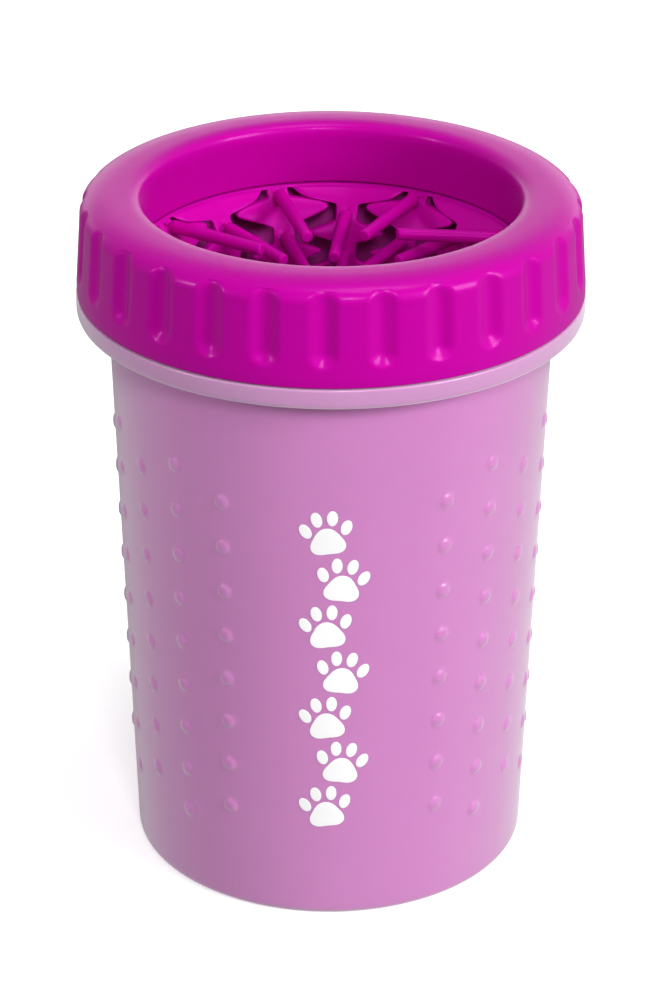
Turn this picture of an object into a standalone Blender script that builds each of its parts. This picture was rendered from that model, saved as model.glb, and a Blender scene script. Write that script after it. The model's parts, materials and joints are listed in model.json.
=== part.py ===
"""Paw washer cup: a studded tumbler, a screw lid in two shots, and a silicone bristle insert.

Units are metres, +Z is up and the front of the cup faces -Y. The origin is the centre of the base.
Sizes are written in millimetres and become metres where the meshes are made.
Angles are in degrees, counted counter-clockwise from +X as seen from above.
"""

import math

import bmesh
import bpy
from mathutils import Matrix
from mathutils import Vector

MM = 0.001
GAP = 0.3               # clearance between pieces that rest against each other
COLUMNS = 48            # facets round a turned piece
SHARP_ANGLE = 35

# Tumbler: a cone with a flange under the lid and a threaded neck.
BASE_RADIUS = 42.75
LEAN = 0.034            # radius gained by the wall for each millimetre of height
WALL = 2.0
FLOOR = 3.0
FOOT_RADIUS = 36.0      # inside of the ring that the cup stands on
FOOT_RECESS = 0.8
BASE_ROUND = 2.0
FLANGE_RADIUS = 53.6
FLANGE_LOW = 124.6
FLANGE_TOP = 129.0
FLANGE_FILLET = 1.5
NECK_RADIUS = 47.2
NECK_TOP = 139.8
EDGE = 0.5              # small broken edges

# Studs: columns of low studs, alternate columns half a pitch apart, none on the print panels.
STUD_STEP = 15
STUD_PITCH = 10.46
STUD_TOP_LONG = 103.2
STUD_TOP_SHORT = 98.1
STUDS_LONG = 9
STUDS_SHORT = 8
STUD_RADIUS = 1.75
STUD_HEIGHT = 0.5
PANEL_HALF = 20         # half width of the plain panels at the front and the back

# Four-start thread.
THREAD_STARTS = 4
THREAD_LEAD = 16.0
RIB_HALF = 0.7          # half thickness of a rib at its root
RIB_CREST_HALF = 0.35
NECK_RIB_RADIUS = 48.5
NECK_RIB_Z = 132.0
NECK_RIB_SPAN = 80
CORE_RIB_RADIUS = 47.55
CORE_RIB_SPAN = 60
CORE_RIB_START = 10     # the lid's ribs lie halfway between the neck's ribs

# Lid: a hard threaded core under a soft grip cover.
HEIGHT = 150.7
LID_LOW = 129.3
LID_BAND_RADIUS = 53.45
BAND_TOP = 132.4
SHOULDER_RADIUS = 52.45
SHOULDER_LOW = 146.0
CROWN_RADIUS = 44.4     # the rim is highest here
CROWN_POWER = 2.5       # above 2 the rim's section is squarer than an ellipse
LIP_RADIUS = 39.7       # narrowest part of the opening
LIP_HEIGHT = 147.5
LIP_POWER = 3.5
THROAT_LOW = 136.6
THROAT_RADIUS = 41.3    # at its lower end: the throat widens downwards under its fat rim
THROAT_OUTSIDE = 42.8
CORE_RADIUS = 50.1
CORE_BORE = 48.8
CORE_WEB_TOP = 145.0
WEB_LOW = 142.2
FLUTES = 28
FIRST_FLUTE = -92.7
FLUTE_HALF = 3.4
FLUTE_FLOOR_HALF = 1.0
FLUTE_DEPTH = 1.3
FLUTE_RUNOUT = 1.6      # height over which a flute fades out at its lower end
FLUTE_HIGH = 148.0

# Insert: a collar clamped under the lid, with hanging strips that carry the bristles.
COLLAR_LOW = 135.0
COLLAR_RELIEF = 0.15    # the ring stands back a little from the necks and flaps that it carries
SLEEVE_WALL = 1.7
INSERT_TOP = THROAT_LOW - GAP
INSERT_WALL = 1.8
INSERT_RADIUS = 32.0    # inside radius that the insert narrows towards
INSERT_FLARE = 9.0      # extra radius at its top
FLARE_DEPTH = 7.0
STRIPS = 8              # strips of each of the two kinds
FIRST_STRIP = 16        # direction of the first strip of kind A
FIRST_ROW = 135.2
ROW_PITCH = 4.0
ROWS = 14
NECK_HALF = 3.8
WIDE_HALF = 16.0
FLAP_HALF = 18.1
STRIP_END = 79.6
STRIP_END_HALF = 6.0
HINGE_DROP = 2.0        # the living hinge is this far under its row of bristles
HINGE_HALF_GAP = 0.2
WIDEST_DROP = 4.5       # the widest part of a strip is this far under the row before it
NECK_ABOVE = 0.8        # a neck runs from this far above its row of bristles
NECK_BELOW = 1.4        # to this far below it
BRISTLE_ROOT = 1.6
BRISTLE_TIP = 1.42
BRISTLE_REACH = 15.8    # radius of the circle that the bristle tips leave open
DROOP_FIRST = 2.0
DROOP = 4.0


def clear_scene():
    for item in list(bpy.data.objects):
        bpy.data.objects.remove(item)


def plastic(name, colour, roughness):
    made = bpy.data.materials.new(name)
    made.use_nodes = True
    shader = made.node_tree.nodes["Principled BSDF"]
    shader.inputs["Base Color"].default_value = (*colour, 1)
    shader.inputs["Roughness"].default_value = roughness
    shader.inputs["Metallic"].default_value = 0
    return made


def polar(radius, angle, z):
    turn = math.radians(angle)
    return Vector((radius * math.cos(turn), radius * math.sin(turn), z))


def add_object(name, points, faces, material=None):
    """Make an object from points in millimetres, with its faces turned outwards."""
    mesh = bpy.data.meshes.new(name)
    mesh.from_pydata([Vector(p) * MM for p in points], [], faces)
    work = bmesh.new()
    work.from_mesh(mesh)
    bmesh.ops.recalc_face_normals(work, faces=work.faces)
    work.to_mesh(mesh)
    work.free()
    mesh.shade_smooth()
    mesh.set_sharp_from_angle(angle=math.radians(SHARP_ANGLE))
    item = bpy.data.objects.new(name, mesh)
    bpy.context.scene.collection.objects.link(item)
    if material:
        mesh.materials.append(material)
    return item


def unite(item, label, tool_points, tool_faces):
    """Weld ribs, studs or bristles onto a piece."""
    tool = add_object(f"{item.name}_{label}_tool", tool_points, tool_faces)
    tool.hide_render = True
    tool.display_type = "WIRE"
    weld = item.modifiers.new(label, "BOOLEAN")
    weld.operation = "UNION"
    weld.object = tool


def gather(parts):
    """Join lists of (points, faces) into one pair."""
    points = []
    faces = []
    for some_points, some_faces in parts:
        start = len(points)
        points += some_points
        faces += [[start + index for index in face] for face in some_faces]
    return points, faces


def arc(centre, size, start, end, steps, power=2.0):
    """Points along an ellipse, or along a squarer curve when power is above 2."""
    points = []
    for step in range(steps + 1):
        turn = math.radians(start + (end - start) * step / steps)
        across = math.copysign(abs(math.cos(turn)) ** (2 / power), math.cos(turn))
        up = math.copysign(abs(math.sin(turn)) ** (2 / power), math.sin(turn))
        points.append((centre[0] + size[0] * across, centre[1] + size[1] * up))
    return points


def even_angles(count):
    return [360 * step / count for step in range(count)]


def turned(outline, angles, closed, carve=None):
    """Turn an outline of (radius, z) about the Z axis; a radius of 0 closes an end on the axis."""
    points = []
    rings = []
    for radius, z in outline:
        if radius == 0:
            rings.append([len(points)] * len(angles))
            points.append(Vector((0, 0, z)))
            continue
        rings.append(range(len(points), len(points) + len(angles)))
        for angle in angles:
            cut = carve(angle, radius, z) if carve else 0
            points.append(polar(radius - cut, angle, z))
    pairs = list(zip(rings, rings[1:]))
    if closed:
        pairs.append((rings[-1], rings[0]))
    faces = []
    for low, high in pairs:
        for column in range(len(angles)):
            after = (column + 1) % len(angles)
            corners = [low[column], low[after], high[after], high[column]]
            faces.append(list(dict.fromkeys(corners)))
    return points, faces


def helical_rib(root, crest, middle_z, first_angle, span, steps=8):
    """One rib of the thread: a low ridge that climbs as it goes round."""
    points = []
    for step in range(steps + 1):
        angle = first_angle + span * step / steps
        z = middle_z + THREAD_LEAD * (span * step / steps) / 360
        points.append(polar(root, angle, z - RIB_HALF))
        points.append(polar(root, angle, z + RIB_HALF))
        points.append(polar(crest, angle, z + RIB_CREST_HALF))
        points.append(polar(crest, angle, z - RIB_CREST_HALF))
    faces = [[0, 1, 2, 3], [4 * steps + corner for corner in range(4)]]
    for step in range(steps):
        for corner in range(4):
            after = (corner + 1) % 4
            start = 4 * step
            faces.append([start + corner, start + after, start + 4 + after, start + 4 + corner])
    return points, faces


def thread(root, crest, middle_z, first_angle, span):
    ribs = []
    for start in range(THREAD_STARTS):
        angle = first_angle + 360 * start / THREAD_STARTS
        ribs.append(helical_rib(root, crest, middle_z, angle, span))
    return gather(ribs)


def wall_radius(z):
    return BASE_RADIUS + LEAN * z


def stud(angle, z):
    """A low six-sided point whose foot lies inside the wall."""
    sink = STUD_HEIGHT * 0.6
    foot = STUD_RADIUS * (1 + sink / STUD_HEIGHT)
    out = polar(1, angle, 0)
    side = polar(1, angle + 90, 0)
    middle = out * (wall_radius(z) - sink) + Vector((0, 0, z))
    points = []
    for corner in range(6):
        turn = math.radians(60 * corner)
        points.append(middle + side * foot * math.cos(turn) + Vector((0, 0, foot * math.sin(turn))))
    points.append(middle + out * (sink + STUD_HEIGHT))
    faces = [[corner, (corner + 1) % 6, 6] for corner in range(6)]
    faces.append(list(range(6)))
    return points, faces


def stud_field():
    studs = []
    for column in range(360 // STUD_STEP):
        angle = -90 + STUD_STEP * column
        from_panel = abs((STUD_STEP * column + 90) % 180 - 90)
        if from_panel < PANEL_HALF:
            continue
        long_column = column % 2 == 1
        top = STUD_TOP_LONG if long_column else STUD_TOP_SHORT
        count = STUDS_LONG if long_column else STUDS_SHORT
        studs += [stud(angle, top - STUD_PITCH * row) for row in range(count)]
    return gather(studs)


def tumbler(material):
    inner_floor = wall_radius(FLOOR) - WALL
    outline = [(0, FOOT_RECESS), (FOOT_RADIUS - FOOT_RECESS, FOOT_RECESS), (FOOT_RADIUS, 0)]
    outline += arc((BASE_RADIUS - BASE_ROUND, BASE_ROUND), (BASE_ROUND, BASE_ROUND), -90, 0, 2)
    outline += [
        (wall_radius(FLANGE_LOW - FLANGE_FILLET), FLANGE_LOW - FLANGE_FILLET),
        (wall_radius(FLANGE_LOW) + FLANGE_FILLET, FLANGE_LOW),
        (FLANGE_RADIUS - EDGE, FLANGE_LOW),
        (FLANGE_RADIUS, FLANGE_LOW + EDGE),
        (FLANGE_RADIUS, FLANGE_TOP - EDGE),
        (FLANGE_RADIUS - EDGE, FLANGE_TOP),
        (NECK_RADIUS, FLANGE_TOP),
        (NECK_RADIUS, NECK_TOP - EDGE),
        (NECK_RADIUS - EDGE, NECK_TOP),
        (wall_radius(NECK_TOP) - WALL, NECK_TOP),
    ]
    outline += arc((inner_floor - BASE_ROUND, FLOOR + BASE_ROUND), (BASE_ROUND, BASE_ROUND), 0, -90, 2)
    outline.append((0, FLOOR))
    item = add_object("tumbler", *turned(outline, even_angles(COLUMNS), closed=False), material)
    unite(item, "studs", *stud_field())
    unite(item, "thread", *thread(NECK_RADIUS - EDGE, NECK_RIB_RADIUS, NECK_RIB_Z, 0, NECK_RIB_SPAN))


def lid_core(material):
    outline = [
        (CORE_BORE, LID_LOW + GAP),
        (CORE_RADIUS, LID_LOW + GAP),
        (CORE_RADIUS, CORE_WEB_TOP),
        (THROAT_OUTSIDE + GAP, CORE_WEB_TOP),
        (THROAT_OUTSIDE + GAP, WEB_LOW),
        (CORE_BORE, WEB_LOW),
    ]
    item = add_object("lid_core", *turned(outline, even_angles(COLUMNS), closed=True), material)
    rib_z = NECK_RIB_Z - THREAD_LEAD / THREAD_STARTS / 2 + THREAD_LEAD * CORE_RIB_START / 360
    unite(item, "thread", *thread(CORE_BORE + EDGE, CORE_RIB_RADIUS, rib_z, CORE_RIB_START, CORE_RIB_SPAN))


def flute_cut(angle, radius, z):
    """Depth of the grip flutes at one point of the cover."""
    if radius < CORE_RADIUS + 1 or z < BAND_TOP + EDGE or z > FLUTE_HIGH:
        return 0
    step = 360 / FLUTES
    from_middle = abs((angle - FIRST_FLUTE + step / 2) % step - step / 2)
    share = (FLUTE_HALF - from_middle) / (FLUTE_HALF - FLUTE_FLOOR_HALF)
    return FLUTE_DEPTH * min(1, max(0, share))


def lid_cover(material):
    inner_top = CORE_WEB_TOP + GAP
    inner_side = CORE_RADIUS + GAP
    outside = (SHOULDER_RADIUS - CROWN_RADIUS, HEIGHT - SHOULDER_LOW)
    inside = (CROWN_RADIUS - LIP_RADIUS, HEIGHT - LIP_HEIGHT)
    outline = [
        (LID_BAND_RADIUS - EDGE, LID_LOW),
        (LID_BAND_RADIUS, LID_LOW + EDGE),
        (LID_BAND_RADIUS, BAND_TOP),
        (LID_BAND_RADIUS, BAND_TOP + FLUTE_RUNOUT),
        (SHOULDER_RADIUS, SHOULDER_LOW),
    ]
    outline += arc((CROWN_RADIUS, SHOULDER_LOW), outside, 12, 90, 5, CROWN_POWER)
    outline += arc((CROWN_RADIUS, LIP_HEIGHT), inside, 90, 180, 5, LIP_POWER)[1:]
    outline += [
        (THROAT_RADIUS, THROAT_LOW),
        (THROAT_OUTSIDE, THROAT_LOW),
        (THROAT_OUTSIDE, inner_top),
        (inner_side, inner_top),
        (inner_side, LID_LOW),
    ]
    angles = []
    for flute in range(FLUTES):
        middle = FIRST_FLUTE + 360 * flute / FLUTES
        angles += [middle + side for side in (-FLUTE_HALF, -FLUTE_FLOOR_HALF, FLUTE_FLOOR_HALF, FLUTE_HALF)]
    add_object("lid_cover", *turned(outline, angles, closed=True, carve=flute_cut), material)


def insert_radius(z):
    return INSERT_RADIUS + INSERT_FLARE * math.exp((z - INSERT_TOP) / FLARE_DEPTH)


def row_z(row):
    return FIRST_ROW - ROW_PITCH * (row - 1)


def hanging_shell(levels, direction):
    """A curved strip of the insert's wall, from a list of (z, half width in degrees)."""
    points = []
    for z, half in levels:
        for side in (-1, 0, 1):
            points.append(polar(insert_radius(z), direction + side * half, z))
        for side in (1, 0, -1):
            points.append(polar(insert_radius(z) + INSERT_WALL, direction + side * half, z))
    last = 6 * (len(levels) - 1)
    faces = [[0, 1, 4, 5], [1, 2, 3, 4]]
    faces += [[last + corner for corner in face] for face in ([0, 1, 4, 5], [1, 2, 3, 4])]
    for level in range(len(levels) - 1):
        for corner in range(6):
            after = (corner + 1) % 6
            start = 6 * level
            faces.append([start + corner, start + after, start + 6 + after, start + 6 + corner])
    return points, faces


def bristle(row, direction):
    """A tapered six-sided bristle with its root inside the wall."""
    droop = math.radians(DROOP_FIRST if row == 1 else DROOP)
    root_radius = insert_radius(row_z(row)) + INSERT_WALL / 2
    inward = -polar(1, direction, 0) * math.cos(droop) - Vector((0, 0, math.sin(droop)))
    side = polar(1, direction + 90, 0)
    up = side.cross(inward).normalized()
    root = polar(root_radius, direction, row_z(row))
    length = (root_radius - BRISTLE_REACH) / math.cos(droop)
    points = []
    for middle, size in ((root, BRISTLE_ROOT), (root + inward * length, BRISTLE_TIP)):
        for corner in range(6):
            turn = math.radians(60 * corner)
            points.append(middle + side * size * math.cos(turn) + up * size * math.sin(turn))
    faces = [list(range(6)), list(range(6, 12))]
    faces += [[corner, (corner + 1) % 6, (corner + 1) % 6 + 6, corner + 6] for corner in range(6)]
    return points, faces


def strip_direction(kind, number):
    half_step = 180 / STRIPS if kind == "b" else 0
    return FIRST_STRIP + 360 * number / STRIPS + half_step


def insert_collar(material):
    flange = NECK_RADIUS - GAP
    sleeve = THROAT_OUTSIDE + GAP
    rise_top = WEB_LOW - GAP
    outline = [
        (insert_radius(COLLAR_LOW) + COLLAR_RELIEF, COLLAR_LOW),
        (insert_radius(INSERT_TOP) + COLLAR_RELIEF, INSERT_TOP),
        (sleeve, INSERT_TOP),
        (sleeve, rise_top),
        (flange, rise_top),
        (flange, NECK_TOP + GAP),
        (sleeve + SLEEVE_WALL, NECK_TOP + GAP),
        (sleeve + SLEEVE_WALL, INSERT_TOP - EDGE),
        (insert_radius(COLLAR_LOW) + INSERT_WALL + GAP, COLLAR_LOW),
    ]
    item = add_object("insert_collar", *turned(outline, even_angles(COLUMNS), closed=True), material)
    hung = []
    bristles = []
    root_top = INSERT_TOP - GAP
    for number in range(STRIPS):
        neck = strip_direction("a", number)
        flap = strip_direction("b", number)
        neck_low = hinge_z("a") + HINGE_HALF_GAP
        hung.append(hanging_shell([(root_top, NECK_HALF), (neck_low, NECK_HALF)], neck))
        flap_low = hinge_z("b") + HINGE_HALF_GAP
        flap_levels = [(root_top, FLAP_HALF), (row_z(2) + NECK_ABOVE, NECK_HALF), (flap_low, NECK_HALF)]
        hung.append(hanging_shell(flap_levels, flap))
        bristles += [bristle(1, neck), bristle(2, flap)]
    unite(item, "flaps", *gather(hung))
    unite(item, "bristles", *gather(bristles))


def first_row(kind):
    return 1 if kind == "a" else 2


def hinge_z(kind):
    return row_z(first_row(kind)) - HINGE_DROP


def strip_levels(kind):
    """Heights and half widths of a strip: a neck at each bristle and a wide part after it."""
    levels = [(hinge_z(kind) - HINGE_HALF_GAP, NECK_HALF)]
    for row in range(first_row(kind) + 2, ROWS + 1, 2):
        levels.append((row_z(row - 2) - WIDEST_DROP, WIDE_HALF))
        levels.append((row_z(row) + NECK_ABOVE, NECK_HALF))
        levels.append((row_z(row) - NECK_BELOW, NECK_HALF))
    if kind == "a":
        levels.append((row_z(ROWS - 1) - WIDEST_DROP, WIDE_HALF))
    levels.append((STRIP_END, STRIP_END_HALF))
    return levels


def strips(kind, material):
    """One strip is made and welded to its bristles, and its mesh is shared round the collar."""
    pattern = add_object("strip_" + kind, *hanging_shell(strip_levels(kind), 0), material)
    rows = range(first_row(kind) + 2, ROWS + 1, 2)
    unite(pattern, "bristles", *gather([bristle(row, 0) for row in rows]))
    bpy.context.view_layer.update()
    ready = pattern.evaluated_get(bpy.context.evaluated_depsgraph_get())
    mesh = bpy.data.meshes.new_from_object(ready)
    hinge = Vector((insert_radius(hinge_z(kind)) + INSERT_WALL / 2, 0, hinge_z(kind))) * MM
    mesh.transform(Matrix.Translation(-hinge))
    tool = pattern.modifiers["bristles"].object
    bpy.data.objects.remove(pattern)
    bpy.data.objects.remove(tool)
    for number in range(STRIPS):
        turn = math.radians(strip_direction(kind, number))
        item = bpy.data.objects.new(f"strip_{kind}{number + 1}", mesh)
        item.location = Matrix.Rotation(turn, 3, "Z") @ hinge
        item.rotation_euler = (0, 0, turn)
        bpy.context.scene.collection.objects.link(item)


def main():
    clear_scene()
    tumbler(plastic("translucent_pink", (0.55, 0.20, 0.45), 0.45))
    lid_core(plastic("magenta_hard", (0.42, 0.0, 0.25), 0.4))
    lid_cover(plastic("magenta_soft", (0.52, 0.0, 0.30), 0.5))
    silicone = plastic("magenta_silicone", (0.50, 0.0, 0.29), 0.45)
    insert_collar(silicone)
    for kind in ("a", "b"):
        strips(kind, silicone)


main()
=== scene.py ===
"""Looks of the paw washer cup: fine surfaces, finishes, a plain studio and a camera.

Sizes are in millimetres unless a name says otherwise, and become metres where the meshes are made.
Angles are in degrees, counter-clockwise from +X as seen from above. The front of the cup faces -Y.
"""

import json
import math
import random

import bmesh
import bpy
from mathutils import Euler
from mathutils import Matrix
from mathutils import Vector


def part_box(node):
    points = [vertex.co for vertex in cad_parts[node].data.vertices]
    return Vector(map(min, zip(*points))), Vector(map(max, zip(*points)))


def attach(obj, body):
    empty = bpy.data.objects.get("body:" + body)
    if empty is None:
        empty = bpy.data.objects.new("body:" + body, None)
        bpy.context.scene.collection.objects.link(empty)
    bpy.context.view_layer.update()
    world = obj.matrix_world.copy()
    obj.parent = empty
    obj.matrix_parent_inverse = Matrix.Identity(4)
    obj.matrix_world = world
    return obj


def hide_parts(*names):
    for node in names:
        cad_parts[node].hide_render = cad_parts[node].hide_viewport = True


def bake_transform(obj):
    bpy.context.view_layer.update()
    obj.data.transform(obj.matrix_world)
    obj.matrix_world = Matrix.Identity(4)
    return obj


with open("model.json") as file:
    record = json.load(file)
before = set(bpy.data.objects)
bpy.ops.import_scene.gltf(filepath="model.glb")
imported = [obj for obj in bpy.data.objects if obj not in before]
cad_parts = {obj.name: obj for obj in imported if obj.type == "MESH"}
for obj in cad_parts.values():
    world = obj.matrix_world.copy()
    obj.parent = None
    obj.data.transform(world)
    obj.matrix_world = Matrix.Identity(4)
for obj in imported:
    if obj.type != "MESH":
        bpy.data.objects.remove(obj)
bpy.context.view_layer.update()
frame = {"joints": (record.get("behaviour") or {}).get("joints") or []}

MM = 0.001
NEAR = 0.01                 # a point this close to a radius lies on it


def in_mm(node):
    low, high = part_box(node)
    return low / MM, high / MM


# Heights and radii read from the frame.
TUMBLER_HIGH = in_mm("tumbler")[1]
COVER_LOW, COVER_HIGH = in_mm("lid_cover")
CORE_LOW, CORE_HIGH = in_mm("lid_core")
STRIP_LOW = in_mm("strip_a1")[0]
JOINTS = {joint["name"]: joint for joint in frame["joints"]}

# Tumbler.
FLANGE_RADIUS = TUMBLER_HIGH.x
NECK_TOP = TUMBLER_HIGH.z
BASE_RADIUS = 42.75
LEAN = 0.034
WALL = 2.0
FLOOR = 3.0
FLOOR_ROUND = 3.0
FOOT_RADIUS = 36.0
FOOT_RECESS = 0.8
FOOT_SLOPE = 1.2
BASE_ROUND = 1.9
BASE_ROUND_ACROSS = 1.96    # it ends on the leaning wall
PLAIN_LOW = 4.0             # the wall is cut finely from here up to the flange, for the studs
PLAIN_UNDER_FLANGE = 3.0
FLANGE_LOW = 124.6
FLANGE_TOP = 129.0
FLANGE_FILLET = 2.4
FLANGE_LOWER_ROUND = 1.5
FLANGE_UPPER_ROUND = 0.35
NECK_RADIUS = 47.2
NECK_FOOT = 0.6
NECK_ROUND = 0.6
NECK_RIB_HEIGHT = 1.3
MOULDED_EDGE = 0.5
PAINTED_GLOW_FROM = 4.5             # depths under the flange's edge between which its colour turns paler: a painted glow for light coming through the solid edge
PAINTED_GLOW_FULL = 0.3

# Studs.
STUD_STEP = 15
STUD_PITCH = 10.46
STUD_TOP_LONG = 103.2
STUD_TOP_SHORT = 98.1
STUDS_LONG = 9
STUDS_SHORT = 8
STUD_RADIUS = 1.75
STUD_HEIGHT = 0.48
STUD_DOME = 3.2             # above 2 the top is flatter and the sides are steeper than on a ball
STUD_SKIRT = 0.05
STUD_SKIRT_REACH = 1.35     # in stud radii, like the next
STUD_SKIRT_FADE = 0.35
PANEL_HALF = 20

# Thread.
THREAD_STARTS = 4
THREAD_LEAD = 16.0
THREAD_Z = 132.0
NECK_RIB_SPAN = 80
CORE_RIB_SPAN = 60
CORE_RIB_START = 10
CORE_RIB_HEIGHT = 1.35
RIB_HALF = 0.75             # half width of a rib at its root
RIB_SIDE = 0.45
RIB_FADE = 4

# Lid.
BAND_RADIUS = COVER_HIGH.x
SHOULDER_RADIUS = 52.45
SHOULDER_LOW = 146.0
CROWN_RADIUS = 44.4     # the rim is highest here
CROWN_POWER = 2.5       # above 2 the rim's section is squarer than an ellipse
LIP_RADIUS = 39.7
LIP_HEIGHT = 147.5
LIP_POWER = 3.5
THROAT_LOW = 136.6
THROAT_RADIUS = 41.3
THROAT_OUTSIDE = 42.8
THROAT_EDGE_IN = 0.1        # where the throat's wall ends and its rounded edge starts
THROAT_EDGE_UP = 0.6
CORE_RADIUS = CORE_HIGH.x
CORE_BORE = 48.8
WEB_LOW = 142.2
FLUTES = 28
FIRST_FLUTE = -92.7
FLUTE_HALF = 3.2
FLUTE_DEPTH = 1.2
FLUTE_EDGE = 1.4
FLUTE_LOW = 136.4       # middles of a flute's round ends
FLUTE_HIGH = 146.6
LID_GAP = 0.3           # between the cover and the core, and between the insert and its neighbours
COVER_EDGE = 0.4
COVER_FOOT = 1.2
COVER_FOOT_UP = 2.2
CORE_EDGE = 0.4
WEB_BORE_EDGE = 0.3
WEB_TOP_EDGE = 0.5
BORE_END_HIGH = 0.8         # lengths of the bore above and below its finely cut stretch
BORE_END_LOW = 0.5

# Insert.
INSERT_TOP = THROAT_LOW - LID_GAP
INSERT_WALL = 1.8
INSERT_RADIUS = 32.0
INSERT_FLARE = 9.0
FLARE_DEPTH = 7.0
SLEEVE_WALL = 1.7
SLEEVE_ROUND = 0.8
RING_DEPTH = 0.5            # of the ring that the necks and flaps hang from
RING_BEHIND = 0.12          # how far it starts behind the insert's inside wall
RING_UNDER = 1.2
RING_EDGE = 0.2
INSERT_EDGE = 0.5
FIRST_ROW = 135.2
ROW_PITCH = 4.0
ROWS = 14
STRIP_END = STRIP_LOW.z
STRIP_FOOT = 0.7
STRIP_FOOT_WIDER = 0.4
STRIPS_OF_A_KIND = 8
NECK_HALF = 2.4
BRISTLE_ROOT = 1.55
BRISTLE_TIP = 1.38
BRISTLE_REACH = 15.8
DROOP_FIRST = 2.0
DROOP = 4.0
DROOP_RANGE = (-2.5, 3.0)   # a bristle's own bend is drawn from these
SWING_RANGE = (-3.0, 3.0)
CURL_RANGE = (-0.3, 0.9)

# Outlines of the insert's hanging parts: (depth, half width in degrees).
FLAP = ((0.2, 18.3), (0.9, 17.0), (1.6, 15.7), (2.2, 14.2), (2.65, 11.4), (3.0, 8.0), (3.3, 5.0))
TONGUE = (
    (1.15, 5.0), (1.4, 9.2), (1.85, 13.6), (2.55, 16.6),
    (3.4, 16.0), (4.4, 12.0), (5.3, 7.6), (6.1, 4.8),
)
DIAMOND = ((2.1, 4.6), (3.1, 10.0), (3.7, 13.5), (4.3, 13.5), (4.9, 10.0), (5.9, 4.6))

# Cage of one bristle and of the patch of wall that it grows from.
BLOCK_UP = 1.6
BLOCK_UP_FIRST = 1.0    # the first row is close under the insert's top
BLOCK_ACROSS = 1.95
RING_UP = 1.45
RING_UP_FIRST = 0.88
RING_ACROSS = 1.66
EDGE_LOOP = 0.4
CORNERS = 12
FIRST_CORNER = 45
ROOT_LIFT = 0.05

# Distances along a bristle where its section is given, and back from its tip.
BRISTLE_STOPS = (0.7, 2.2, 6.0, 10.0, 14.0)
BRISTLE_END_STOPS = (1.0, 0.22, 0.0)
BRISTLE_FLARE = 0.10
BRISTLE_TIP_EDGE = 0.16
END_RING = 0.5              # share of the tip's size

# Bends of the bristles that stand out: (kind, number, row): (extra droop, sideways swing, curl).
SET_BRISTLES = {
    ("a", 0, 1): (-4.2, -17.0, 0.0),
    ("a", 1, 1): (-1.1, -1.2, 0.3),
    ("a", 2, 1): (0.4, -1.1, 0.3),
    ("a", 3, 1): (-1.5, -3.0, 0.5),
    ("b", 0, 2): (-5.0, 8.0, 0.2),
    ("b", 1, 2): (1.3, -2.4, 0.4),
    ("b", 2, 2): (-0.6, 0.2, 0.3),
}

# Print: a trail of tracks, each drawn for a size of 1.
PRINT_LOW = 27.5
PRINT_HIGH = 93.5
TRACKS = 7
TRACK_SIZE = 10.6
TRACK_ASIDE = 1.7
TRACK_TILT = 7
PAD_SIZE = 0.30
PAD_WIDER = 1.12
PAD_DOWN = 0.20
PAD_LOBE = 0.10
PAD_FLAT = 0.14
PAD_POINTS = 48
TOES = ((-0.40, 0.10, 24), (-0.155, 0.33, 8), (0.155, 0.33, -8), (0.40, 0.10, -24))    # across, up, lean
TOE_HALF = (0.108, 0.165)
TOE_POINTS = 28
INK_RINGS = ((1.0, 0.0), (0.98, 0.085), (0.95, 0.09), (0.5, 0.09))    # share of the outline, lift
INK_TOP = 0.09
INK_UNDER = -0.15           # the film's closed back is inside the wall

# Studio: metres, watts and degrees.
FLOOR_REACH = 2.5
FLOOR_GLOW = 0.38
SKY_STRENGTH = 0.32
CUP_MIDDLE = (0, 0, 0.08)
CAMERA_TARGET = (0, 0, 0.07875)
CAMERA_DISTANCE = 0.7685
CAMERA_ASIDE = 0.0006
CAMERA_DOWN = 26.21
CAMERA_TURN = -1.25
CAMERA_ROLL = 0.25
LENS = 127.6                # millimetres, on a frame 36 mm high
FRAME_HEIGHT = 36


# ---------------------------------------------------------------- mesh helpers

def polar(radius, angle, z):
    turn = math.radians(angle)
    return Vector((radius * math.cos(turn), radius * math.sin(turn), z))


def piece(name, points, faces, body, material, sharp=40):
    """A visible piece from points in millimetres, riding on a CAD body."""
    mesh = bpy.data.meshes.new(name)
    mesh.from_pydata([Vector(point) * MM for point in points], [], faces)
    work = bmesh.new()
    work.from_mesh(mesh)
    bmesh.ops.recalc_face_normals(work, faces=work.faces)
    work.to_mesh(mesh)
    work.free()
    mesh.shade_smooth()
    mesh.set_sharp_from_angle(angle=math.radians(sharp))
    item = bpy.data.objects.new(name, mesh)
    bpy.context.scene.collection.objects.link(item)
    mesh.materials.append(material)
    if body:
        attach(item, body)
    return item


def arc(centre, size, start, end, steps, power=2.0):
    """Points along an ellipse, or along a squarer curve when power is above 2."""
    points = []
    for step in range(steps + 1):
        turn = math.radians(start + (end - start) * step / steps)
        across = math.copysign(abs(math.cos(turn)) ** (2 / power), math.cos(turn))
        up = math.copysign(abs(math.sin(turn)) ** (2 / power), math.sin(turn))
        points.append((centre[0] + size[0] * across, centre[1] + size[1] * up))
    return points


def line(start, end, steps):
    """Evenly spaced points from start to end, without start itself."""
    points = []
    for step in range(1, steps + 1):
        share = step / steps
        points.append(tuple(a + (b - a) * share for a, b in zip(start, end)))
    return points


def rounded(corners, radius, steps=4):
    """A polyline of (radius, z) whose inner corners are rounded; an entry may carry its own rounding."""
    out = [corners[0][:2]]
    for before, here, after in zip(corners, corners[1:], corners[2:]):
        own = here[2] if len(here) > 2 else radius
        middle = Vector(here[:2])
        back = Vector(before[:2]) - middle
        forth = Vector(after[:2]) - middle
        reach = min(own, back.length * 0.49, forth.length * 0.49)
        first = middle + back.normalized() * reach
        last = middle + forth.normalized() * reach
        for step in range(steps + 1):
            share = step / steps
            bend = first.lerp(middle, share).lerp(middle.lerp(last, share), share)
            out.append(tuple(bend))
    out.append(corners[-1][:2])
    return out


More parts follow.
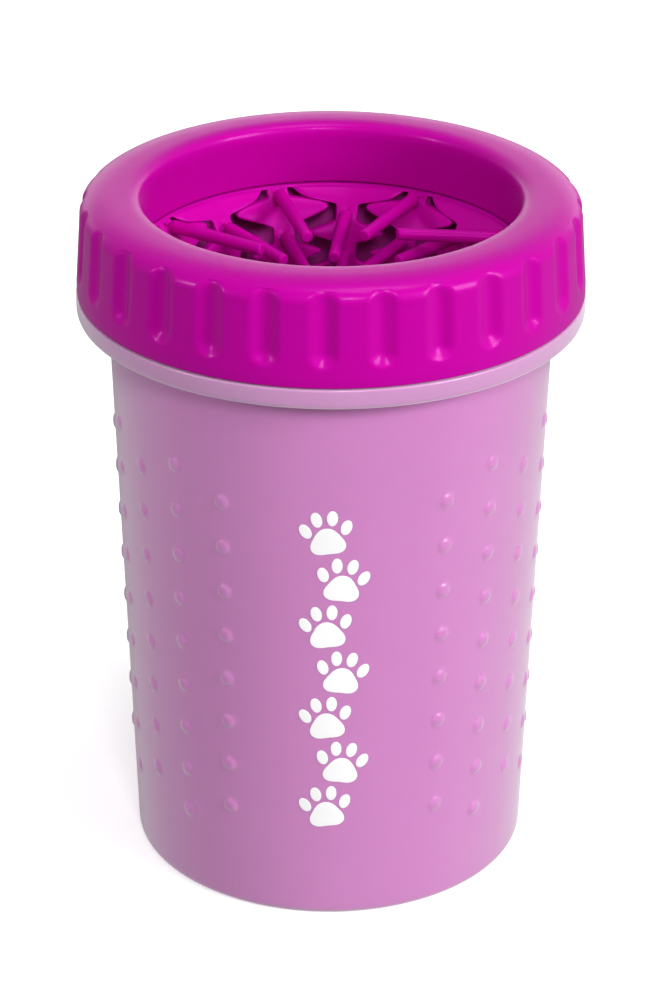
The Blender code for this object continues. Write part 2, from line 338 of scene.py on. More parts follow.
def even_angles(count):
    return [360 * step / count for step in range(count)]


def turned(outline, angles, closed, shift=None):
    """Turn an outline of (radius, z) about Z; shift(angle, radius, z) moves the surface outwards."""
    points = []
    rings = []
    for radius, z in outline:
        if radius == 0:
            rings.append([len(points)] * len(angles))
            points.append(Vector((0, 0, z)))
            continue
        rings.append(range(len(points), len(points) + len(angles)))
        for angle in angles:
            out = shift(angle, radius, z) if shift else 0
            points.append(polar(radius + out, angle, z))
    pairs = list(zip(rings, rings[1:]))
    if closed:
        pairs.append((rings[-1], rings[0]))
    faces = []
    for low, high in pairs:
        for column in range(len(angles)):
            after = (column + 1) % len(angles)
            corners = [low[column], low[after], high[after], high[column]]
            faces.append(list(dict.fromkeys(corners)))
    return points, faces


def smoothstep(value):
    value = min(1, max(0, value))
    return value * value * (3 - 2 * value)


# ---------------------------------------------------------------- materials

def shader_of(material):
    return material.node_tree.nodes["Principled BSDF"]


def add_node(material, kind, **inputs):
    node = material.node_tree.nodes.new(kind)
    for name, value in inputs.items():
        node.inputs[name.replace("_", " ")].default_value = value
    return node


def moulded(name, dark, light, roughness, grain, grain_depth, patch=30.0):
    """A moulded plastic or rubber: slow tone changes, uneven gloss and a fine skin texture."""
    material = bpy.data.materials.new(name)
    material.use_nodes = True
    links = material.node_tree.links
    shader = shader_of(material)
    place = add_node(material, "ShaderNodeTexCoord")

    tone = add_node(material, "ShaderNodeTexNoise", Scale=patch, Detail=3.0, Roughness=0.55)
    links.new(place.outputs["Object"], tone.inputs["Vector"])
    colours = add_node(material, "ShaderNodeValToRGB")
    colours.color_ramp.elements[0].position = 0.3
    colours.color_ramp.elements[0].color = (*dark, 1)
    colours.color_ramp.elements[1].position = 0.7
    colours.color_ramp.elements[1].color = (*light, 1)
    links.new(tone.outputs["Fac"], colours.inputs["Fac"])
    links.new(colours.outputs["Color"], shader.inputs["Base Color"])

    uneven = add_node(material, "ShaderNodeTexNoise", Scale=patch * 6, Detail=4.0, Roughness=0.6)
    links.new(place.outputs["Object"], uneven.inputs["Vector"])
    spread = add_node(material, "ShaderNodeMapRange")
    spread.inputs["To Min"].default_value = roughness[0]
    spread.inputs["To Max"].default_value = roughness[1]
    links.new(uneven.outputs["Fac"], spread.inputs["Value"])
    links.new(spread.outputs["Result"], shader.inputs["Roughness"])

    skin = add_node(material, "ShaderNodeTexNoise", Scale=grain, Detail=2.0, Roughness=0.5)
    links.new(place.outputs["Object"], skin.inputs["Vector"])
    bump = add_node(material, "ShaderNodeBump", Strength=0.5, Distance=grain_depth)
    links.new(skin.outputs["Fac"], bump.inputs["Height"])
    links.new(bump.outputs["Normal"], shader.inputs["Normal"])
    return material


def milky(material, weight, radius, scale):
    """Let light into the material; radius is for red, green and blue, and scale is in metres."""
    shader = shader_of(material)
    shader.inputs["Subsurface Weight"].default_value = weight
    shader.inputs["Subsurface Radius"].default_value = radius
    shader.inputs["Subsurface Scale"].default_value = scale


def from_axis(material):
    """A node socket with the distance from the cup's axis, in metres."""
    links = material.node_tree.links
    place = add_node(material, "ShaderNodeTexCoord")
    flat = add_node(material, "ShaderNodeVectorMath")
    flat.operation = "MULTIPLY"
    flat.inputs[1].default_value = (1, 1, 0)
    links.new(place.outputs["Object"], flat.inputs[0])
    away = add_node(material, "ShaderNodeVectorMath")
    away.operation = "LENGTH"
    links.new(flat.outputs["Vector"], away.inputs[0])
    return away.outputs["Value"]


def painted_glow_rim(material, colour):
    """A paler colour in the flange: a painted glow that stands in for light coming through its solid edge."""
    links = material.node_tree.links
    shader = shader_of(material)
    plain = shader.inputs["Base Color"].links[0].from_socket
    # mask of the painted glow, by distance from the cup's axis
    share = add_node(material, "ShaderNodeMapRange")
    share.interpolation_type = "SMOOTHSTEP"
    share.inputs["From Min"].default_value = (FLANGE_RADIUS - PAINTED_GLOW_FROM) * MM
    share.inputs["From Max"].default_value = (FLANGE_RADIUS - PAINTED_GLOW_FULL) * MM
    links.new(from_axis(material), share.inputs["Value"])
    mix = add_node(material, "ShaderNodeMix")
    mix.data_type = "RGBA"
    links.new(share.outputs["Result"], mix.inputs["Factor"])
    links.new(plain, mix.inputs["A"])
    mix.inputs["B"].default_value = (*colour, 1)
    links.new(mix.outputs["Result"], shader.inputs["Base Color"])


def gloss(material, level, tint=(1, 1, 1), sheen=0.0, sheen_roughness=0.4):
    """How much a surface mirrors, in which tint, and how dry it looks at a flat angle."""
    shader = shader_of(material)
    shader.inputs["Specular IOR Level"].default_value = level
    shader.inputs["Specular Tint"].default_value = (*tint, 1)
    shader.inputs["Sheen Weight"].default_value = sheen
    shader.inputs["Sheen Roughness"].default_value = sheen_roughness


def varnish(material, weight, roughness):
    """The smoother skin of a moulding, which gives small clear highlights."""
    shader = shader_of(material)
    shader.inputs["Coat Weight"].default_value = weight
    shader.inputs["Coat Roughness"].default_value = roughness


def tumbler_plastic():
    """Frosted translucent polypropylene with a pink tint."""
    made = moulded(
        "frosted_pink",
        dark=(0.54, 0.182, 0.47),
        light=(0.57, 0.195, 0.495),
        roughness=(0.26, 0.36),
        grain=2600.0,
        grain_depth=0.00004,
        patch=18.0,
    )
    milky(made, weight=0.5, radius=(1.0, 0.5, 0.8), scale=0.002)
    gloss(made, level=0.6, sheen=0.8, sheen_roughness=0.5)
    varnish(made, weight=0.3, roughness=0.13)
    # painted glow: the flange's edge is paler for light coming through its solid plastic
    painted_glow_rim(made, (0.52, 0.235, 0.47))
    return made


def tumbler_lining():
    """The smooth inside of the tumbler, with painted light: its deeper magenta stands in for light off the
    magenta insert falling on it.
    """
    made = moulded(
        "smooth_pink_painted_bounce",
        # painted bounce light: deeper magenta for light off the insert
        dark=(0.54, 0.03, 0.37),
        light=(0.57, 0.035, 0.39),
        roughness=(0.3, 0.4),
        grain=2600.0,
        grain_depth=0.00003,
        patch=18.0,
    )
    milky(made, weight=0.3, radius=(1.0, 0.3, 0.7), scale=0.002)
    gloss(made, level=0.2, tint=(1.0, 0.3, 0.85))
    return made


def grip_rubber():
    """Soft-touch magenta overmould with a dry sheen."""
    made = moulded(
        "magenta_grip",
        dark=(0.40, 0.0, 0.255),
        light=(0.43, 0.0, 0.275),
        roughness=(0.34, 0.44),
        grain=3200.0,
        grain_depth=0.00005,
        patch=24.0,
    )
    milky(made, weight=0.05, radius=(1.0, 0.1, 0.6), scale=0.002)
    gloss(made, level=0.3, tint=(1.0, 0.05, 0.8), sheen=0.03, sheen_roughness=0.22)
    varnish(made, weight=0.08, roughness=0.16)
    return made


def lid_plastic():
    """Hard magenta core plastic."""
    made = moulded(
        "magenta_core",
        dark=(0.34, 0.0, 0.21),
        light=(0.36, 0.0, 0.225),
        roughness=(0.3, 0.38),
        grain=1800.0,
        grain_depth=0.00002,
    )
    gloss(made, level=0.4, tint=(1.0, 0.2, 0.8))
    return made


def silicone():
    """Satin magenta silicone."""
    made = moulded(
        "magenta_silicone",
        dark=(0.46, 0.0, 0.285),
        light=(0.50, 0.0, 0.31),
        roughness=(0.28, 0.38),
        grain=2400.0,
        grain_depth=0.00003,
        patch=60.0,
    )
    milky(made, weight=0.35, radius=(1.0, 0.1, 0.7), scale=0.003)
    gloss(made, level=0.25, tint=(1.0, 0.1, 0.85))
    return made


def print_ink():
    """White screen-print ink with a slightly uneven cover."""
    return moulded(
        "white_ink",
        dark=(0.86, 0.85, 0.86),
        light=(0.93, 0.92, 0.93),
        roughness=(0.4, 0.55),
        grain=4200.0,
        grain_depth=0.00003,
    )


def floor_finish():
    """Plain white studio paper, lit a little from below like a light table."""
    made = moulded(
        "studio_paper",
        dark=(0.93, 0.93, 0.93),
        light=(0.95, 0.95, 0.95),
        roughness=(0.85, 0.95),
        grain=900.0,
        grain_depth=0.00002,
        patch=3.0,
    )
    shader = shader_of(made)
    shader.inputs["Emission Color"].default_value = (1, 1, 1, 1)
    shader.inputs["Emission Strength"].default_value = FLOOR_GLOW
    return made


# ---------------------------------------------------------------- tumbler

def wall_radius(z):
    return BASE_RADIUS + LEAN * z


def stud_rise(angle, z):
    """Height of the studs over the plain wall at one point."""
    column = round((angle + 90) / STUD_STEP)
    if abs((STUD_STEP * column + 90) % 180 - 90) < PANEL_HALF:
        return 0
    long_column = column % 2 == 1
    top = STUD_TOP_LONG if long_column else STUD_TOP_SHORT
    count = STUDS_LONG if long_column else STUDS_SHORT
    row = min(count - 1, max(0, round((top - z) / STUD_PITCH)))
    up = z - (top - STUD_PITCH * row)
    across = math.radians(angle + 90 - STUD_STEP * column) * wall_radius(z)
    distance = math.hypot(up, across) / STUD_RADIUS
    dome = max(0, 1 - distance ** STUD_DOME)
    skirt = STUD_SKIRT * smoothstep((STUD_SKIRT_REACH - distance) / STUD_SKIRT_FADE)
    return STUD_HEIGHT * max(dome, skirt)


def rib_rise(angle, z, middle_z, first_angle, span, height):
    """Height of the thread's ribs at one point; the ribs fade out at both ends."""
    pitch = THREAD_LEAD / THREAD_STARTS
    best = 0
    for start in range(THREAD_STARTS):
        along = (angle - first_angle - 360 * start / THREAD_STARTS) % 360
        if along > span:
            continue
        off = abs(z - middle_z - THREAD_LEAD * along / 360)
        if off > pitch / 2:
            continue
        side = smoothstep((RIB_HALF - off) / RIB_SIDE)
        end = smoothstep(min(along, span - along) / RIB_FADE)
        best = max(best, height * side * end)
    return best


def tumbler_shift(angle, radius, z):
    """The studs on the outside of the wall and the thread's ribs on the neck."""
    if radius > wall_radius(z) - NEAR and BASE_ROUND < z < FLANGE_LOW - PLAIN_UNDER_FLANGE:
        return stud_rise(angle, z)
    if abs(radius - NECK_RADIUS) < NEAR:
        return rib_rise(angle, z, THREAD_Z, 0, NECK_RIB_SPAN, NECK_RIB_HEIGHT)
    return 0


def stud_angles():
    """Columns of the mesh: close together over the studs, wider between them."""
    half = [0.4, 0.85, 1.3, 1.75, 2.15, 2.5, 2.9]
    fine = [-step for step in reversed(half)] + [0] + half
    coarse = [5.2, 7.5, 9.8]
    angles = []
    for column in range(360 // STUD_STEP):
        angles += [-90 + STUD_STEP * column + step for step in fine + coarse]
    return angles


def tumbler_outline():
    """(radius, z) from under the middle of the base, up the outside, and down the inside to the middle."""
    arc_middle = (BASE_RADIUS - BASE_ROUND, BASE_ROUND)
    foot = [
        (0, FOOT_RECESS),
        (FOOT_RADIUS - FOOT_SLOPE, FOOT_RECESS),
        (FOOT_RADIUS, 0),
        (BASE_RADIUS - BASE_ROUND, 0),
    ]
    outline = rounded(foot, MOULDED_EDGE)[:-1]
    outline += arc(arc_middle, (BASE_ROUND_ACROSS, BASE_ROUND), -90, 0, steps=8)
    first = (wall_radius(PLAIN_LOW), PLAIN_LOW)
    last = (wall_radius(FLANGE_LOW - PLAIN_UNDER_FLANGE), FLANGE_LOW - PLAIN_UNDER_FLANGE)
    outline += [first] + line(first, last, steps=300)
    neck_start = (NECK_RADIUS, FLANGE_TOP + NECK_FOOT)
    flange = [
        last,
        (wall_radius(FLANGE_LOW), FLANGE_LOW, FLANGE_FILLET),
        (FLANGE_RADIUS, FLANGE_LOW, FLANGE_LOWER_ROUND),
        (FLANGE_RADIUS, FLANGE_TOP, FLANGE_UPPER_ROUND),
        (NECK_RADIUS, FLANGE_TOP, MOULDED_EDGE),
        neck_start,
    ]
    outline += rounded(flange, MOULDED_EDGE, steps=5)[1:]
    neck_end = (NECK_RADIUS, NECK_TOP - 0.8)
    outline += line(neck_start, neck_end, steps=44)
    inside = [
        neck_end,
        (NECK_RADIUS, NECK_TOP),
        (wall_radius(NECK_TOP) - WALL, NECK_TOP),
        (wall_radius(FLOOR) - WALL, FLOOR, FLOOR_ROUND),
        (0, FLOOR),
    ]
    return outline + rounded(inside, NECK_ROUND, steps=6)[1:]


def line_inside(item, lining):
    """Give the inner faces of the tumbler their own material, whose colour holds painted bounce light."""
    item.data.materials.append(lining)
    for face in item.data.polygons:
        x, y, z = face.center / MM
        inside = math.hypot(x, y) < wall_radius(z) - WALL / 2 and z > FLOOR / 2
        face.material_index = int(inside)


def make_tumbler(material, lining):
    points, faces = turned(tumbler_outline(), stud_angles(), closed=False, shift=tumbler_shift)
    item = piece("tumbler_shell", points, faces, "tumbler", material)
    line_inside(item, lining)
    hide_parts("tumbler")


# ---------------------------------------------------------------- print on the front

def on_wall(across, z, lift):
    """A point over the front of the wall, across millimetres to the right of its middle."""
    radius = wall_radius(z)
    return polar(radius + lift, -90 + math.degrees(across / radius), z)


def ink_patch(outline):
    """A thin closed film that follows the wall, from an outline of (across, z) round its middle."""
    count = len(outline)
    middle = (sum(p[0] for p in outline) / count, sum(p[1] for p in outline) / count)
    points = []
    for share, lift in INK_RINGS:
        for across, z in outline:
            x = middle[0] + (across - middle[0]) * share
            y = middle[1] + (z - middle[1]) * share
            points.append(on_wall(x, y, lift))
    top = len(points)
    points.append(on_wall(*middle, INK_TOP))
    bottom = len(points)
    points.append(on_wall(*middle, INK_UNDER))
    lower = len(points)
    points += [on_wall(across, z, INK_UNDER) for across, z in outline]
    inner = (len(INK_RINGS) - 1) * count
    faces = []
    for column in range(count):
        after = (column + 1) % count
        for low in range(0, inner, count):
            faces.append([low + column, low + after, low + count + after, low + count + column])
        faces.append([inner + column, inner + after, top])
        faces.append([lower + after, lower + column, bottom])
        faces.append([lower + column, lower + after, after, column])
    return points, faces


def pad_outline():
    """The track's pad: a circle with three lobes and a flatter lower side."""
    pad = []
    for step in range(PAD_POINTS):
        turn = math.radians(360 * step / PAD_POINTS)
        lobes = PAD_SIZE * (1 + PAD_LOBE * math.cos(3 * (turn - math.pi / 2)))
        flat = 1 - PAD_FLAT * max(0, -math.sin(turn)) ** 3
        pad.append((PAD_WIDER * lobes * math.cos(turn), -PAD_DOWN + lobes * flat * math.sin(turn)))
    return pad


def toe_outline(across, up, lean):
    """One toe: an ellipse that leans outwards."""
    toe = []
    swing = Matrix.Rotation(math.radians(lean), 2)
    for step in range(TOE_POINTS):
        turn = math.radians(360 * step / TOE_POINTS)
        spot = swing @ Vector((TOE_HALF[0] * math.cos(turn), TOE_HALF[1] * math.sin(turn)))
        toe.append((across + spot.x, up + spot.y))
    return toe


def track_outlines(centre, size, tilt):
    """One generic animal track: a three-lobed pad and four toes."""
    spread = Matrix.Rotation(math.radians(tilt), 2)
    placed = []
    for shape in [pad_outline()] + [toe_outline(*toe) for toe in TOES]:
        placed.append([tuple(spread @ (Vector(p) * size) + Vector(centre)) for p in shape])
    return placed


def make_print(material):
    """A trail of tracks that climbs the front, where the cup carries its print."""
    points = []
    faces = []
    for track in range(TRACKS):
        side = 1 if track % 2 else -1
        centre = (TRACK_ASIDE * side, PRINT_LOW + (PRINT_HIGH - PRINT_LOW) * track / (TRACKS - 1))
        for outline in track_outlines(centre, TRACK_SIZE, -TRACK_TILT * side):
            some_points, some_faces = ink_patch(outline)
            start = len(points)
            points += some_points
            faces += [[start + index for index in face] for face in some_faces]
    piece("track_print", points, faces, "tumbler", material)


# ---------------------------------------------------------------- lid

def flute_shift(angle, radius, z):
    """Grip flutes: soft round-ended channels in the side of the lid."""
    if radius < CORE_RADIUS + 1 or z < FLUTE_LOW - FLUTE_HALF or z > FLUTE_HIGH + FLUTE_HALF:
        return 0
    step = 360 / FLUTES
    across = math.radians((angle - FIRST_FLUTE + step / 2) % step - step / 2) * radius
    beyond = max(0, z - FLUTE_HIGH, FLUTE_LOW - z)
    distance = min(1, math.hypot(across, beyond) / FLUTE_HALF)
    return -FLUTE_DEPTH * math.cos(distance * math.pi / 2) ** FLUTE_EDGE


def cover_outline():
    """(radius, z) from the cover's foot, up the side, over the rim, down the throat and back underneath."""
    inner_top = CORE_HIGH.z + LID_GAP
    inner_side = CORE_RADIUS + LID_GAP
    outside = (SHOULDER_RADIUS - CROWN_RADIUS, COVER_HIGH.z - SHOULDER_LOW)
    inside = (CROWN_RADIUS - LIP_RADIUS, COVER_HIGH.z - LIP_HEIGHT)
    foot = [
        (inner_side + COVER_FOOT, COVER_LOW.z),
        (BAND_RADIUS, COVER_LOW.z),
        (BAND_RADIUS, COVER_LOW.z + COVER_FOOT_UP),
    ]
    outline = rounded(foot, COVER_EDGE, steps=6)
    outline += line(outline[-1], (SHOULDER_RADIUS, SHOULDER_LOW), steps=46)
    outline += arc((CROWN_RADIUS, SHOULDER_LOW), outside, 0, 90, steps=40, power=CROWN_POWER)[1:]
    outline += arc((CROWN_RADIUS, LIP_HEIGHT), inside, 90, 180, steps=36, power=LIP_POWER)[1:]
    outline += line(outline[-1], (THROAT_RADIUS - THROAT_EDGE_IN, THROAT_LOW + THROAT_EDGE_UP), steps=12)
    underside = [
        outline[-1],
        (THROAT_RADIUS, THROAT_LOW, COVER_EDGE),
        (THROAT_OUTSIDE, THROAT_LOW, COVER_EDGE),
        (THROAT_OUTSIDE, inner_top),
        (inner_side, inner_top),
        (inner_side, COVER_LOW.z),
        foot[0],
    ]
    return outline + rounded(underside, 0.3)[1:-1]


def make_cover(material):
    columns = even_angles(FLUTES * 20)
    points, faces = turned(cover_outline(), columns, closed=True, shift=flute_shift)
    item = piece("grip_cover", points, faces, "lid", material)
    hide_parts("lid_cover")


def core_shift(angle, radius, z):
    """The ribs in the core's bore, which run in the neck's thread."""
    if abs(radius - CORE_BORE) > NEAR or z > WEB_LOW - CORE_EDGE:
        return 0
    middle = THREAD_Z - THREAD_LEAD / THREAD_STARTS / 2 + THREAD_LEAD * CORE_RIB_START / 360
    return -rib_rise(angle, z, middle, CORE_RIB_START, CORE_RIB_SPAN, CORE_RIB_HEIGHT)


def core_outline():
    """(radius, z) from the top of the bore, under the web, over the top and down the outside."""
    web_top = CORE_HIGH.z
    web_bore = THROAT_OUTSIDE + LID_GAP
    corners = [
        (CORE_BORE, WEB_LOW - BORE_END_HIGH),
        (CORE_BORE, WEB_LOW),
        (web_bore, WEB_LOW, WEB_BORE_EDGE),
        (web_bore, web_top, WEB_BORE_EDGE),
        (CORE_RADIUS, web_top, WEB_TOP_EDGE),
        (CORE_RADIUS, CORE_LOW.z),
        (CORE_BORE, CORE_LOW.z),
        (CORE_BORE, CORE_LOW.z + BORE_END_LOW),
    ]
    outline = rounded(corners, CORE_EDGE)
    return outline + line(outline[-1], corners[0], steps=48)[:-1]


def make_core(material):
    points, faces = turned(core_outline(), even_angles(360), closed=True, shift=core_shift)
    item = piece("threaded_core", points, faces, "lid", material)
    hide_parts("lid_core")


# ---------------------------------------------------------------- insert

def insert_radius(z):
    """Inside radius of the insert's wall, which flares out towards its top."""
    return INSERT_RADIUS + INSERT_FLARE * math.exp((z - INSERT_TOP) / FLARE_DEPTH)


def row_z(row):
    return FIRST_ROW - ROW_PITCH * (row - 1)


def make_collar(material):
    """The clamped ring of the insert, which the necks and flaps hang from."""
    flange = NECK_RADIUS - LID_GAP
    web = WEB_LOW - LID_GAP
    over_neck = NECK_TOP + LID_GAP
    sleeve = THROAT_OUTSIDE + LID_GAP
    low = INSERT_TOP - RING_DEPTH
    under = (insert_radius(low) + RING_UNDER, low)
    corners = [
        under,
        (insert_radius(low) + RING_BEHIND, low, RING_EDGE),
        (insert_radius(INSERT_TOP) + RING_BEHIND, INSERT_TOP, RING_EDGE),
        (sleeve, INSERT_TOP),
        (sleeve, web),
        (flange, web, INSERT_EDGE),
        (flange, over_neck, INSERT_EDGE),
        (sleeve + SLEEVE_WALL, over_neck, SLEEVE_ROUND),
        (sleeve + SLEEVE_WALL, low, INSERT_EDGE),
        under,
    ]
    outline = rounded(corners, 0.3)[:-1]
    points, faces = turned(outline, even_angles(192), closed=True)
    item = piece("insert_ring", points, faces, "insert", material)
    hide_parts("insert_collar")


def block_up(row):
    """Half height of the patch of wall that a row's bristle grows from."""
    return BLOCK_UP_FIRST if row == 1 else BLOCK_UP


def stations(kind):
    """(z, half width in mm, row of the bristle or 0) down one column, from the ring to its free end."""
    def shaped(outline, top):
        return [(top - depth, math.radians(half) * insert_radius(top - depth), 0) for depth, half in outline]
    first = 1 if kind == "a" else 2
    found = shaped(FLAP, INSERT_TOP) if kind == "b" else []
    for row in range(first, ROWS + 1, 2):
        up = block_up(row)
        for step in (up, up / 3, -up / 3, -up):
            found.append((row_z(row) + step, NECK_HALF, row))
        if row < ROWS:
            found += shaped(TONGUE if row == 1 else DIAMOND, row_z(row))
    found.append((STRIP_END + STRIP_FOOT, NECK_HALF + STRIP_FOOT_WIDER, 0))
    found.append((STRIP_END, NECK_HALF, 0))
    return found


def bristle_bend(kind, number, row):
    """(extra droop, sideways swing, curl): set for the bristles that stand out, and drawn for the others."""
    draw = random.Random(f"{kind}{number}{row}")
    drawn = (draw.uniform(*DROOP_RANGE), draw.uniform(*SWING_RANGE), draw.uniform(*CURL_RANGE))
    return SET_BRISTLES.get((kind, number, row), drawn)


def corner_turns():
    """Angles of the corners of a bristle's section."""
    return [math.radians(FIRST_CORNER + 360 / CORNERS * corner) for corner in range(CORNERS)]


def root_ring(base, row, direction):
    """A bristle's first ring, which lies on the insert's wall round the bristle's base."""
    ring_up = RING_UP_FIRST if row == 1 else RING_UP
    ring = []
    for turn in corner_turns():
        angle = direction + math.degrees(RING_ACROSS * math.cos(turn) / base.xy.length)
        z = row_z(row) + ring_up * math.sin(turn)
        ring.append(polar(insert_radius(z) - ROOT_LIFT, angle, z))
    return ring


def bristle_rings(kind, number, row, direction):
    """Rings of points along a bristle, from its root on the wall to a small ring inside its end face."""
    more_droop, swing, curl = bristle_bend(kind, number, row)
    droop = math.radians((DROOP_FIRST if row == 1 else DROOP) + more_droop)
    base = polar(insert_radius(row_z(row)), direction, row_z(row))
    heading = -polar(1, direction + swing, 0)
    inward = heading * math.cos(droop) - Vector((0, 0, math.sin(droop)))
    length = (insert_radius(row_z(row)) - BRISTLE_REACH) / math.cos(droop)
    across = Vector((0, 0, 1)).cross(-polar(1, direction, 0)).normalized()
    up = (-inward).cross(across).normalized()
    stops = list(BRISTLE_STOPS) + [length - back for back in BRISTLE_END_STOPS]
    shares = [stop / length for stop in stops]
    reaches = [BRISTLE_ROOT + (BRISTLE_TIP - BRISTLE_ROOT) * share for share in shares]
    reaches[0] += BRISTLE_FLARE
    reaches[-1] -= BRISTLE_TIP_EDGE
    rings = [root_ring(base, row, direction)]
    for stop, share, reach in zip(stops, shares, reaches):
        centre = base + inward * stop - Vector((0, 0, curl * share * share))
        ring = []
        for turn in corner_turns():
            ring.append(centre + across * reach * math.cos(turn) + up * reach * math.sin(turn))
        rings.append(ring)
    end = []
    for turn in corner_turns():
        end.append(centre + (across * math.cos(turn) + up * math.sin(turn)) * BRISTLE_TIP * END_RING)
    return rings + [end]


def grow_bristle(points, faces, rim, rings):
    """Add a bristle to the cage, from the rim of its patch along its rings to a closed end."""
    before = rim
    for ring in rings:
        here = range(len(points), len(points) + CORNERS)
        points += ring
        for corner in range(CORNERS):
            after = (corner + 1) % CORNERS
            faces.append([before[corner], before[after], here[after], here[corner]])
        before = here
    faces.append(list(before))


def lines_across(half):
    """Places of a level's eight points across the column; its edge loops stay beside the bristles' patch."""
    wide = max(half, BLOCK_ACROSS + EDGE_LOOP)
    edge = wide - EDGE_LOOP
    if edge < BLOCK_ACROSS + 0.02:
        edge = (wide + BLOCK_ACROSS) / 2
    left = [-wide, -edge, -BLOCK_ACROSS, -BLOCK_ACROSS / 3]
    return left + [-value for value in reversed(left)]


def patch_rim(inner, level):
    """The twelve points round the open patch whose top is at a level, in the order of a bristle's corners."""
    top, upper, lower, low = inner[level:level + 4]
    upper_side = [top[5], top[4], top[3], top[2]]
    lower_side = [low[2], low[3], low[4], low[5]]
    return upper_side + [upper[2], lower[2]] + lower_side + [lower[5], upper[5]]


def column_mesh(kind, number, direction):
    """One hanging column of the insert with its bristles, as a coarse cage to be smoothed."""
    levels = stations(kind)
    rows = [row for z, half, row in levels]
    points = []
    faces = []
    inner = []
    outer = []
    for z, half, row in levels:
        radius = insert_radius(z)
        across_places = lines_across(half)
        for surface, out in ((inner, 0), (outer, INSERT_WALL)):
            surface.append(range(len(points), len(points) + len(across_places)))
            for across in across_places:
                points.append(polar(radius + out, direction + math.degrees(across / radius), z))
    last = len(inner[0]) - 1
    for level in range(len(levels) - 1):
        block = rows[level] and rows[level + 1] == rows[level]
        top, low = inner[level], inner[level + 1]
        back_top, back_low = outer[level], outer[level + 1]
        for column in range(last):
            if not (block and 2 <= column <= 4):
                faces.append([top[column], top[column + 1], low[column + 1], low[column]])
            faces.append([back_top[column + 1], back_top[column], back_low[column], back_low[column + 1]])
        for column in (0, last):
            faces.append([top[column], low[column], back_low[column], back_top[column]])
    for front, back in ((inner[0], outer[0]), (inner[-1], outer[-1])):
        for column in range(last):
            faces.append([front[column], front[column + 1], back[column + 1], back[column]])
    for level in range(len(levels) - 3):
        row = rows[level]
        if row and rows[level + 3] == row:
            rings = bristle_rings(kind, number, row, direction)
            grow_bristle(points, faces, patch_rim(inner, level), rings)
    return points, faces


def smoothed(item):
    """Subdivide a cage once and keep the result as its mesh."""
    modifier = item.modifiers.new("smooth", "SUBSURF")
    modifier.levels = 1
    modifier.render_levels = 1
    bpy.context.view_layer.update()
    ready = item.evaluated_get(bpy.context.evaluated_depsgraph_get())
    mesh = bpy.data.meshes.new_from_object(ready)
    item.modifiers.remove(modifier)
    item.data = mesh
    mesh.shade_smooth()


def make_columns(material):
    """The hanging columns, each turned to face the direction of its strip's hinge."""
    for kind in ("a", "b"):
        for number in range(STRIPS_OF_A_KIND):
            name = f"strip_{kind}{number + 1}"
            hinge = Vector(JOINTS[name + "_flex"]["pos_m"])
            direction = math.degrees(math.atan2(hinge.y, hinge.x))
            points, faces = column_mesh(kind, number, direction)
            item = piece("bristle_" + name, points, faces, None, material, sharp=180)
            smoothed(item)
            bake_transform(item)
            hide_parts(name)


# ---------------------------------------------------------------- studio

def make_floor(material):
    """A pale floor that takes the cup's shadow and keeps its own light off the cup."""
    reach = FLOOR_REACH
    points = [(-reach, -reach, 0), (reach, -reach, 0), (reach, reach, 0), (-reach, reach, 0)]
    mesh = bpy.data.meshes.new("floor")
    mesh.from_pydata(points, [], [[0, 1, 2, 3]])
    floor = bpy.data.objects.new("floor", mesh)
    bpy.context.scene.collection.objects.link(floor)
    mesh.materials.append(material)
    floor.visible_diffuse = False
    floor.visible_glossy = False


def area_light(name, place, target, size, power):
    """A rectangular soft light that the camera doesn't see."""
    light = bpy.data.lights.new(name, "AREA")
    light.shape = "RECTANGLE"
    light.size = size[0]
    light.size_y = size[1]
    light.energy = power
    item = bpy.data.objects.new(name, light)
    item.location = place
    item.rotation_euler = (Vector(target) - Vector(place)).to_track_quat("-Z", "Y").to_euler()
    item.visible_camera = False
    bpy.context.scene.collection.objects.link(item)


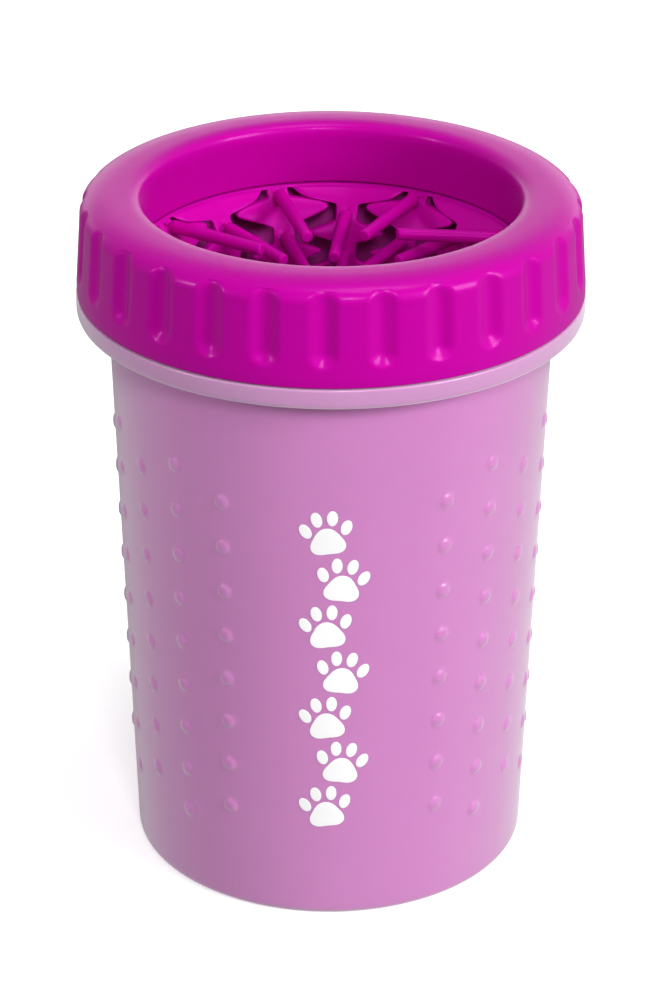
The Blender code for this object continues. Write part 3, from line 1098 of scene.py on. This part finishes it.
def make_lights():
    world = bpy.data.worlds.new("studio")
    bpy.context.scene.world = world
    world.use_nodes = True
    sky = world.node_tree.nodes["Background"]
    sky.inputs["Color"].default_value = (1, 1, 1, 1)
    sky.inputs["Strength"].default_value = SKY_STRENGTH
    area_light("key", place=(1.15, -0.78, 0.66), target=CUP_MIDDLE, size=(0.6, 0.6), power=21.5)
    area_light("fill", place=(-1.3, -0.6, 0.6), target=CUP_MIDDLE, size=(0.22, 0.3), power=6.0)
    area_light("top", place=(0.20, -0.15, 1.4), target=(0, 0, 0.05), size=(0.5, 0.5), power=5)
    area_light("front", place=(0.12, -1.25, 0.95), target=CUP_MIDDLE, size=(0.3, 0.3), power=7.5)
    area_light("back", place=(0, 1.5, 0.4), target=CUP_MIDDLE, size=(2.6, 0.5), power=7)


def make_camera():
    """A long lens in front of the cup, looking down at it."""
    down = math.radians(CAMERA_DOWN)
    turn = math.radians(CAMERA_TURN)
    roll = math.radians(CAMERA_ROLL)
    camera = bpy.data.cameras.new("camera")
    camera.sensor_fit = "VERTICAL"
    camera.sensor_height = FRAME_HEIGHT
    camera.lens = LENS
    camera.clip_start = 0.01
    item = bpy.data.objects.new("camera", camera)
    back = Vector((math.sin(turn) * math.cos(down), -math.cos(turn) * math.cos(down), math.sin(down)))
    right = Vector((math.cos(turn), math.sin(turn), 0))
    item.location = Vector(CAMERA_TARGET) + back * CAMERA_DISTANCE + right * CAMERA_ASIDE
    tilted = Matrix.Rotation(turn, 3, "Z") @ Euler((math.pi / 2 - down, 0, 0)).to_matrix()
    item.rotation_euler = (tilted @ Matrix.Rotation(roll, 3, "Z")).to_euler()
    bpy.context.scene.collection.objects.link(item)
    bpy.context.scene.camera = item


def write_sizes():
    """Define a helper that turns box corners into plain numbers; nothing calls it, and nothing is written."""
    def plain(bounds):
        return [[float(value) for value in corner] for corner in bounds]


def main():
    make_camera()
    make_lights()
    make_floor(floor_finish())
    make_tumbler(tumbler_plastic(), tumbler_lining())
    make_print(print_ink())
    make_cover(grip_rubber())
    make_core(lid_plastic())
    rubber = silicone()
    make_collar(rubber)
    make_columns(rubber)
    bpy.context.scene.view_settings.view_transform = "Standard"
    write_sizes()


main()
